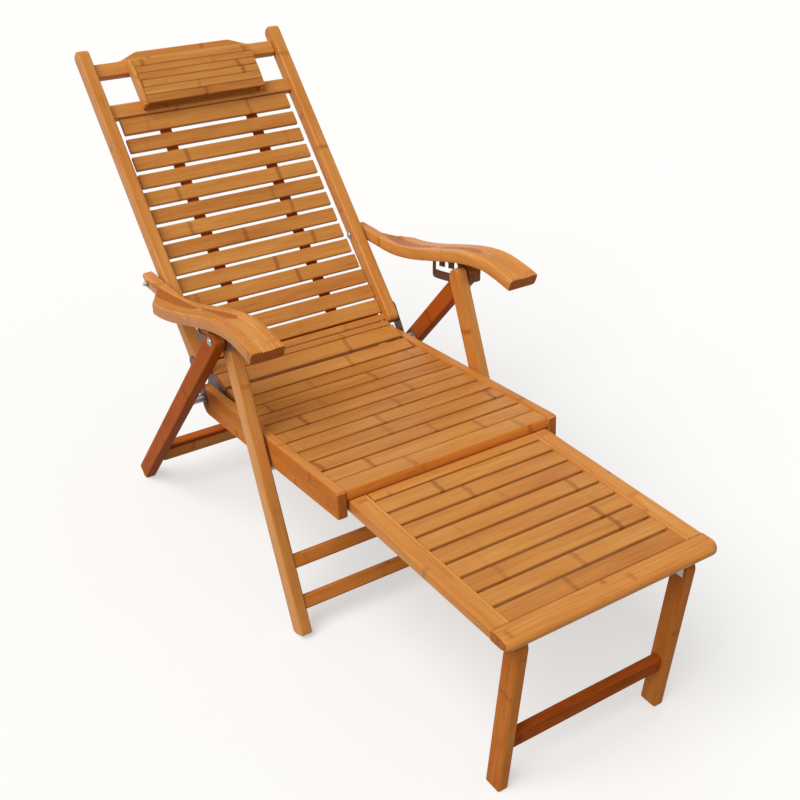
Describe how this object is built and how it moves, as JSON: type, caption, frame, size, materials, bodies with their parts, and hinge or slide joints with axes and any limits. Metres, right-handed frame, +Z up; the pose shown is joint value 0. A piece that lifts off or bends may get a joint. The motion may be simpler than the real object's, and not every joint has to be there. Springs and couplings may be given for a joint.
{
  "type": "sun lounger",
  "caption": "Folding slatted bamboo sun lounger with curved arms, a stepped reclining backrest, a headrest pad and a pull-out footrest on folding legs.",
  "frame": {"origin": "on the floor, under the middle of the overall length and width, with the footrest out", "axes": "+X towards the foot end, +Y to the sitter's left, +Z up"},
  "size_m": [1.6222, 0.671, 0.9825],
  "materials": {
    "bamboo": "glossy honey lacquer",
    "dark_bamboo": "satin red-brown lacquer",
    "steel": "plain zinc plate",
    "brown_steel": "brown paint"
  },
  "bodies": {
    "rear_legs": {"rear_leg_left": "bamboo", "rear_leg_right": "bamboo", "rear_crossbar": "bamboo", "leg_pin_left": "steel", "leg_pin_right": "steel", "seat_pivot_left": "steel", "seat_pivot_right": "steel"},
    "front_legs": {"front_leg_left": "bamboo", "front_leg_right": "bamboo", "front_crossbar_upper": "bamboo", "front_crossbar_lower": "bamboo", "seat_peg_left": "steel", "seat_peg_right": "steel"},
    "seat": {"seat_rail_left": "bamboo", "seat_rail_right": "bamboo", "seat_nose": "bamboo", "seat_slat_panel": "bamboo"},
    "footrest": {"footrest_rail_left": "bamboo", "footrest_rail_right": "bamboo", "footrest_nose_rail": "bamboo", "footrest_rear_rail": "bamboo", "footrest_slat_panel": "bamboo", "footrest_peg_left": "steel", "footrest_peg_right": "steel", "footrest_bracket_left": "steel", "footrest_bracket_right": "steel"},
    "footrest_legs": {"footrest_leg_left": "bamboo", "footrest_leg_right": "bamboo", "footrest_stretcher": "bamboo"},
    "backrest": {"stile_left": "bamboo", "stile_right": "bamboo", "crest_rail": "bamboo", "head_rail": "bamboo", "lower_rail": "bamboo", "back_strip_left": "dark_bamboo", "back_strip_right": "dark_bamboo", "back_slat_01": "bamboo", "back_slat_02": "bamboo", "back_slat_03": "bamboo", "back_slat_04": "bamboo", "back_slat_05": "bamboo", "back_slat_06": "bamboo", "back_slat_07": "bamboo", "back_slat_08": "bamboo", "back_slat_09": "bamboo", "back_slat_10": "bamboo", "back_slat_11": "bamboo", "back_slat_12": "bamboo", "back_slat_13": "bamboo", "back_slat_14": "bamboo", "hinge_plate_left": "brown_steel", "hinge_plate_right": "brown_steel", "arm_bolt_left": "steel", "arm_bolt_right": "steel", "headrest": "bamboo"},
    "left_arm": {"arm_left": "bamboo", "notch_plate_left": "brown_steel"},
    "right_arm": {"arm_right": "bamboo", "notch_plate_right": "brown_steel"}
  },
  "joints": [
    {"name": "backrest_recline", "type": "hinge", "parent": "rear_legs", "child": "backrest", "pos_m": [-0.22835, 0, 0.345], "axis": [0, -1, 0], "range_deg": [-25.2, 9.7]},
    {"name": "left_arm_pivot", "type": "hinge", "parent": "backrest", "child": "left_arm", "pos_m": [-0.41843, 0, 0.55472], "axis": [0, -1, 0], "range_deg": [-7.5, 18.5]},
    {"name": "right_arm_pivot", "type": "hinge", "parent": "backrest", "child": "right_arm", "pos_m": [-0.41843, 0, 0.55472], "axis": [0, -1, 0], "range_deg": [-7.5, 18.5]},
    {"name": "front_leg_fold", "type": "hinge", "parent": "rear_legs", "child": "front_legs", "pos_m": [-0.02835, 0, 0.583], "axis": [0, 1, 0], "range_deg": [0, 53]},
    {"name": "seat_fold", "type": "hinge", "parent": "rear_legs", "child": "seat", "pos_m": [-0.22835, 0, 0.345], "axis": [0, -1, 0], "range_deg": [0, 49.1]},
    {"name": "footrest_slide", "type": "slide", "parent": "seat", "child": "footrest", "axis": [0.9972, 0, 0.075], "range_m": [-0.4, 0]},
    {"name": "footrest_leg_fold", "type": "hinge", "parent": "footrest", "child": "footrest_legs", "pos_m": [0.77615, 0, 0.3402], "axis": [0, 1, 0], "range_deg": [0, 85]}
  ],
  "couplings": [
    {"joint": "left_arm_pivot", "follows": "backrest_recline", "ratio": -0.72},
    {"joint": "right_arm_pivot", "follows": "backrest_recline", "ratio": -0.72},
    {"joint": "seat_fold", "follows": "front_leg_fold", "ratio": 0.9245}
  ]
}
